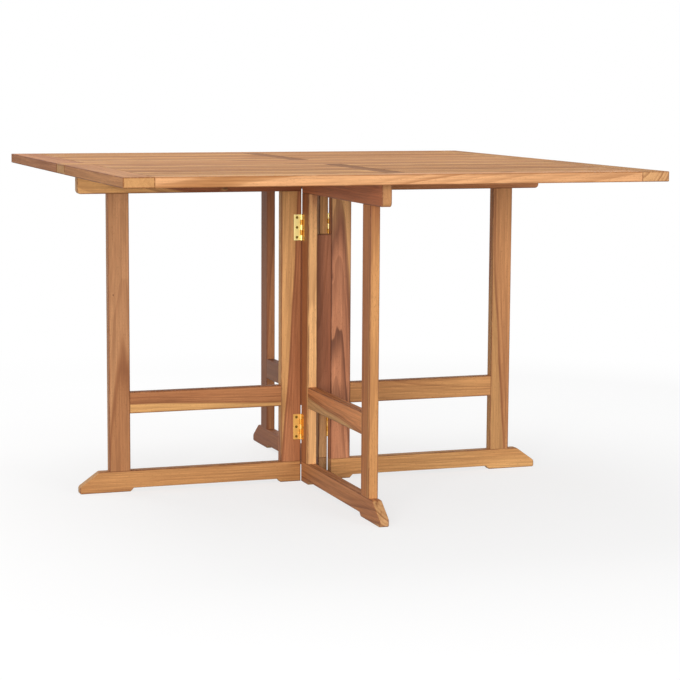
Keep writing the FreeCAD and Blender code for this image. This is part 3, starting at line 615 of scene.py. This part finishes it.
# Two screws go up through each stop block, in line across the leaf.
stop_middle = -0.0041
stop_screws_at = (-0.4425, -0.4075)
stop_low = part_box("front_leaf_gate_stop")[0].z
stop_spots = [(Vector((stop_middle, y, stop_low)), upright) for y in stop_screws_at]
for side, turned in (("front", list), ("back", half_turned)):
    on_points(side + "_gate_screws_crossed", screw_tree, turned(gate_rows), side + "_gate", "brass_screws",
              dict(hinge_screw, Seed=3), side + "_gate_screws")
    on_points(side + "_leaf_screws_crossed", screw_tree, turned(leaf_rows), side + "_leaf", "brass_screws",
              dict(hinge_screw, Seed=4), side + "_leaf_screws")
    on_points(side + "_stop_screws_crossed", screw_tree, turned(stop_spots), side + "_leaf", "brass_screws",
              stop_screw, side + "_leaf_screws")

# The plank's screws sit in counterbores, spread over the length of each half frame.
counterbore_height = 0.698
half_frame_start = 0.037
half_frame_length = 0.528
screw_shares = (0.2, 0.55, 0.93)
rail_spots = [(Vector((-half_frame_start - share * half_frame_length, 0, counterbore_height)), upright)
              for share in screw_shares]
on_points("plank_screws_crossed", screw_tree, rail_spots + half_turned(rail_spots), "fixed_frame",
          "steel_screws", plank_screw, "plank_screws")


# Floor and backdrop: a plain matt studio floor that keeps the table's soft shadow and runs out into white,
# and an even backdrop. Both show white, and throw less light back onto the table than white would.

def seen_directly(tree):
    """1 for a ray from the eye, or off something polished or clear, and 0 for light between matt things."""
    ray = add(tree, "ShaderNodeLightPath").outputs
    reflected = calc(tree, "MAXIMUM", ray["Is Glossy Ray"], ray["Is Transmission Ray"])
    return calc(tree, "MAXIMUM", ray["Is Camera Ray"], reflected)


white = (1.0, 1.0, 1.0, 1)
pale_grey = (0.75, 0.75, 0.75, 1)
floor_half = 40
floor_corners = [(x * floor_half, y * floor_half, 0) for x, y in ((-1, -1), (1, -1), (1, 1), (-1, 1))]
floor_mesh = bpy.data.meshes.new("studio_floor")
floor_mesh.from_pydata(floor_corners, [], [(0, 1, 2, 3)])
studio_floor = bpy.data.objects.new("studio_floor", floor_mesh)
bpy.context.scene.collection.objects.link(studio_floor)
pale = bpy.data.materials.new("pale_studio_floor")
pale.use_nodes = True
tree = pale.node_tree
tree.nodes.clear()
spot = add(tree, "ShaderNodeTexCoord").outputs["Object"]
least_white = 0.72
shadow_reach = 0.7
white_beyond = 2.4
from_middle = vector_calc(tree, "LENGTH", spot)
away = calc(tree, "MAXIMUM", step_up(tree, from_middle, shadow_reach, white_beyond), least_white)
shows = seen_directly(tree)
matt = add(tree, "ShaderNodeBsdfDiffuse", {"Color": mixed(tree, shows, pale_grey, white)}).outputs[0]
glow = add(tree, "ShaderNodeEmission", {"Color": white, "Strength": shows}).outputs[0]
surface = add(tree, "ShaderNodeMixShader", {0: away, 1: matt, 2: glow}).outputs[0]
add(tree, "ShaderNodeOutputMaterial", {"Surface": surface})
floor_mesh.materials.append(pale)

world = bpy.data.worlds.new("white_studio")
bpy.context.scene.world = world
world.use_nodes = True
tree = world.node_tree
tree.nodes.clear()
shows = seen_directly(tree)
soft = add(tree, "ShaderNodeBackground", {"Color": white, "Strength": 0.5}).outputs[0]
bright = add(tree, "ShaderNodeBackground", {"Color": white, "Strength": 1.0}).outputs[0]
surface = add(tree, "ShaderNodeMixShader", {0: shows, 1: soft, 2: bright}).outputs[0]
add(tree, "ShaderNodeOutputWorld", {"Surface": surface})


# Lamps: three large soft boxes, the strongest low at the front left, a weaker one at the front right, and a
# weak one above and behind that lifts the far edges of the top.

def soft_box(name, place, aim, size, power):
    """A square area lamp that faces its aim."""
    lamp = bpy.data.lights.new(name, "AREA")
    lamp.size = size
    lamp.energy = power
    box = bpy.data.objects.new(name, lamp)
    bpy.context.scene.collection.objects.link(box)
    box.location = place
    box.rotation_euler = (Vector(aim) - Vector(place)).to_track_quat("-Z", "Y").to_euler()


soft_box("front_soft_box", place=(-2.7, -4.6, 1.0), aim=(0, 0, 0.45), size=2.0, power=200)
soft_box("right_soft_box", place=(2.2, -4.6, 1.1), aim=(0, 0, 0.45), size=2.0, power=70)
soft_box("top_soft_box", place=(-0.6, 1.6, 3.4), aim=(0, 0, 0.6), size=2.4, power=60)


# Camera: at the photograph's place and angle, at the front left and a little higher than the top, with a long
# lens. It is turned right, tilted down and rolled by these degrees.

camera_place = (-1.5376, -4.5484, 0.9555)
turned_right = 19.39
tilted_down = 7.39
rolled = 0.35
lens = bpy.data.cameras.new("camera")
lens.sensor_width = 36.0
lens.lens = 109.07
camera = bpy.data.objects.new("camera", lens)
bpy.context.scene.collection.objects.link(camera)
yaw = Matrix.Rotation(math.radians(-turned_right), 4, "Z")
pitch = Matrix.Rotation(math.radians(90 - tilted_down), 4, "X")
roll = Matrix.Rotation(math.radians(rolled), 4, "Z")
camera.matrix_world = Matrix.Translation(camera_place) @ yaw @ pitch @ roll
bpy.context.scene.camera = camera

bpy.context.scene.view_settings.view_transform = "Standard"
